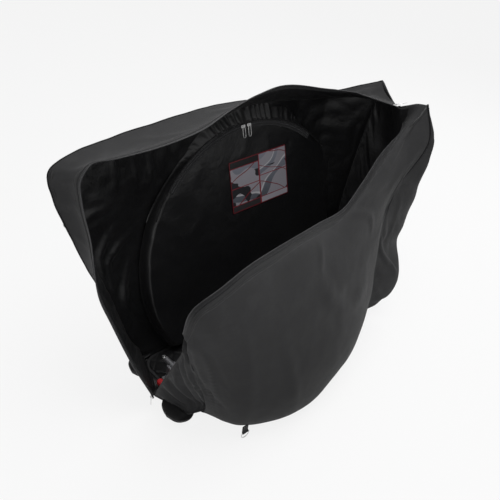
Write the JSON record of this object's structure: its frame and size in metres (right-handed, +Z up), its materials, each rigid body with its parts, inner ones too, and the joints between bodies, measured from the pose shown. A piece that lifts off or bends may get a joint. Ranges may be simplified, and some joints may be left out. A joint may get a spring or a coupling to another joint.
{
  "type": "soft bike travel bag",
  "caption": "Open soft travel bag for a road bicycle, on swivel casters, with a keel that holds the axles, wheel pockets, zips, sliders and rings",
  "frame": {"origin": "on the floor, under the middle of the bag's bounding box", "axes": "+X from the handlebar end to the saddle end, +Y from the near, slumped half to the far, standing half, +Z up"},
  "size_m": [1.378, 0.6884, 0.9903],
  "materials": {
    "outer_fabric": "grey padded outer fabric, plain weave",
    "lining": "black glossy nylon lining",
    "webbing": "black woven webbing and zip tape",
    "card": null,
    "black_plastic": "moulded",
    "red_plastic": "moulded end cap",
    "aluminium": "dark anodised",
    "steel": "plated",
    "rubber": "wheel tread"
  },
  "bodies": {
    "root": {"base_board": "black_plastic", "base_mat": "lining", "near_hem": "webbing", "near_corner_boot": "outer_fabric", "far_corner_boot": "outer_fabric", "keel": "aluminium", "keel_cap_front": "red_plastic", "keel_cap_rear": "red_plastic", "keel_bolt_front": "steel", "keel_bolt_rear": "steel", "fork_mount": "aluminium", "front_axle": "steel", "far_shell": "outer_fabric", "near_rear_panel": "outer_fabric", "near_front_gusset": "outer_fabric", "rear_end": "outer_fabric", "far_pocket": "lining", "packing_card": "card", "main_zip_far": "webbing", "main_zip_near_rear": "webbing", "arch_zip": "webbing", "rear_handle": "webbing", "rear_near_tab": "webbing", "far_front_tab": "webbing", "front_near_caster_plate": "steel", "front_far_caster_plate": "steel", "rear_near_caster_plate": "steel", "rear_far_caster_plate": "steel"},
    "near_side": {"near_shell": "outer_fabric", "near_pocket": "lining", "main_zip_near": "webbing", "near_bottom_tab": "webbing"},
    "front_near_swivel": {"front_near_caster_fork": "black_plastic", "front_near_caster_axle": "steel"},
    "front_near_wheel": {"front_near_caster_wheel": "rubber"},
    "front_far_swivel": {"front_far_caster_fork": "black_plastic", "front_far_caster_axle": "steel"},
    "front_far_wheel": {"front_far_caster_wheel": "rubber"},
    "rear_near_swivel": {"rear_near_caster_fork": "black_plastic", "rear_near_caster_axle": "steel"},
    "rear_near_wheel": {"rear_near_caster_wheel": "rubber"},
    "rear_far_swivel": {"rear_far_caster_fork": "black_plastic", "rear_far_caster_axle": "steel"},
    "rear_far_wheel": {"rear_far_caster_wheel": "rubber"},
    "carriage": {"rear_carriage": "aluminium", "rear_axle": "steel"},
    "front_lever": {"front_lever": "aluminium"},
    "rear_lever": {"rear_lever": "aluminium"},
    "front_zip_slider": {"front_zip_slider": "steel"},
    "rear_zip_slider": {"rear_zip_slider": "steel"},
    "arch_front_slider": {"arch_front_slider": "steel"},
    "arch_rear_slider": {"arch_rear_slider": "steel"},
    "front_zip_pull": {"front_zip_pull": "steel"},
    "rear_zip_pull": {"rear_zip_pull": "steel"},
    "arch_front_pull": {"arch_front_pull": "steel"},
    "arch_rear_pull": {"arch_rear_pull": "steel"},
    "rear_near_ring": {"rear_near_ring": "steel"},
    "near_bottom_ring": {"near_bottom_ring": "steel"},
    "far_front_ring": {"far_front_ring": "steel"}
  },
  "joints": [
    {"name": "near_side_swing", "type": "hinge", "parent": "root", "child": "near_side", "pos_m": [0.0485, -0.11408, 0.0763], "axis": [1, 0, 0], "range_deg": [-12, 4], "deforming": ["near_front_gusset"]},
    {"name": "front_near_caster_turn", "type": "hinge", "parent": "root", "child": "front_near_swivel", "pos_m": [-0.3615, -0.05978, 0.0655], "axis": [0, 0, 1], "continuous": true},
    {"name": "front_near_wheel_spin", "type": "hinge", "parent": "front_near_swivel", "child": "front_near_wheel", "pos_m": [-0.34749, -0.05978, 0.028], "axis": [0, 1, 0], "continuous": true},
    {"name": "front_far_caster_turn", "type": "hinge", "parent": "root", "child": "front_far_swivel", "pos_m": [-0.3615, 0.12722, 0.0655], "axis": [0, 0, 1], "continuous": true},
    {"name": "front_far_wheel_spin", "type": "hinge", "parent": "front_far_swivel", "child": "front_far_wheel", "pos_m": [-0.34749, 0.12722, 0.028], "axis": [0, 1, 0], "continuous": true},
    {"name": "rear_near_caster_turn", "type": "hinge", "parent": "root", "child": "rear_near_swivel", "pos_m": [0.48851, -0.05978, 0.0655], "axis": [0, 0, 1], "continuous": true},
    {"name": "rear_near_wheel_spin", "type": "hinge", "parent": "rear_near_swivel", "child": "rear_near_wheel", "pos_m": [0.5025, -0.05978, 0.028], "axis": [0, 1, 0], "continuous": true},
    {"name": "rear_far_caster_turn", "type": "hinge", "parent": "root", "child": "rear_far_swivel", "pos_m": [0.48851, 0.12722, 0.0655], "axis": [0, 0, 1], "continuous": true},
    {"name": "rear_far_wheel_spin", "type": "hinge", "parent": "rear_far_swivel", "child": "rear_far_wheel", "pos_m": [0.5025, 0.12722, 0.028], "axis": [0, 1, 0], "continuous": true},
    {"name": "rear_carriage_slide", "type": "slide", "parent": "root", "child": "carriage", "axis": [1, 0, 0], "range_m": [-0.12, 0.012]},
    {"name": "front_lever_turn", "type": "hinge", "parent": "root", "child": "front_lever", "pos_m": [-0.39649, -0.04208, 0.15], "axis": [0, 1, 0], "continuous": true},
    {"name": "rear_lever_turn", "type": "hinge", "parent": "carriage", "child": "rear_lever", "pos_m": [0.49351, -0.05708, 0.205], "axis": [0, 1, 0], "continuous": true},
    {"name": "front_zip_slide", "type": "slide", "parent": "root", "child": "front_zip_slider", "axis": [-0.353, 0.1603, 0.9218], "range_m": [0, 0.06]},
    {"name": "rear_zip_slide", "type": "slide", "parent": "root", "child": "rear_zip_slider", "axis": [-0.617, 0.7639, 0.1888], "range_m": [0, 0.05]},
    {"name": "arch_front_slide", "type": "hinge", "parent": "root", "child": "arch_front_slider", "pos_m": [0.11134, 0.19263, 0.36266], "axis": [0, -0.9668, 0.2555], "range_deg": [0, 43.5]},
    {"name": "arch_rear_slide", "type": "hinge", "parent": "root", "child": "arch_rear_slider", "pos_m": [0.11134, 0.19263, 0.36266], "axis": [0, 0.9668, -0.2555], "range_deg": [0, 37.5]},
    {"name": "front_zip_pull_swing", "type": "hinge", "parent": "front_zip_slider", "child": "front_zip_pull", "pos_m": [-0.49713, 0.02122, 0.06928], "axis": [0.5782, 0.8119, 0.0802], "range_deg": [0, 90]},
    {"name": "rear_zip_pull_swing", "type": "hinge", "parent": "rear_zip_slider", "child": "rear_zip_pull", "pos_m": [0.59012, 0.02773, 0.91246], "axis": [-0.6671, -0.6351, 0.3895], "range_deg": [0, 60]},
    {"name": "arch_front_pull_swing", "type": "hinge", "parent": "arch_front_slider", "child": "arch_front_pull", "pos_m": [0.09734, 0.30802, 0.82947], "axis": [-0.9996, -0.0074, -0.0281], "range_deg": [0, 90]},
    {"name": "arch_rear_pull_swing", "type": "hinge", "parent": "arch_rear_slider", "child": "arch_rear_pull", "pos_m": [0.12533, 0.30802, 0.82947], "axis": [-0.9996, 0.0074, 0.0281], "range_deg": [0, 90]},
    {"name": "rear_near_ring_swing", "type": "hinge", "parent": "root", "child": "rear_near_ring", "pos_m": [0.65836, -0.07732, 0.72639], "axis": [0.0654, -0.9979, 0], "range_deg": [0, 90]},
    {"name": "near_bottom_ring_swing", "type": "hinge", "parent": "near_side", "child": "near_bottom_ring", "pos_m": [-0.3155, -0.2752, 0.03598], "axis": [-1, 0, 0], "range_deg": [-20, 80]},
    {"name": "far_front_ring_swing", "type": "hinge", "parent": "root", "child": "far_front_ring", "pos_m": [-0.63025, 0.27611, 0.71464], "axis": [0.9993, 0.0387, 0], "range_deg": [0, 90]}
  ]
}
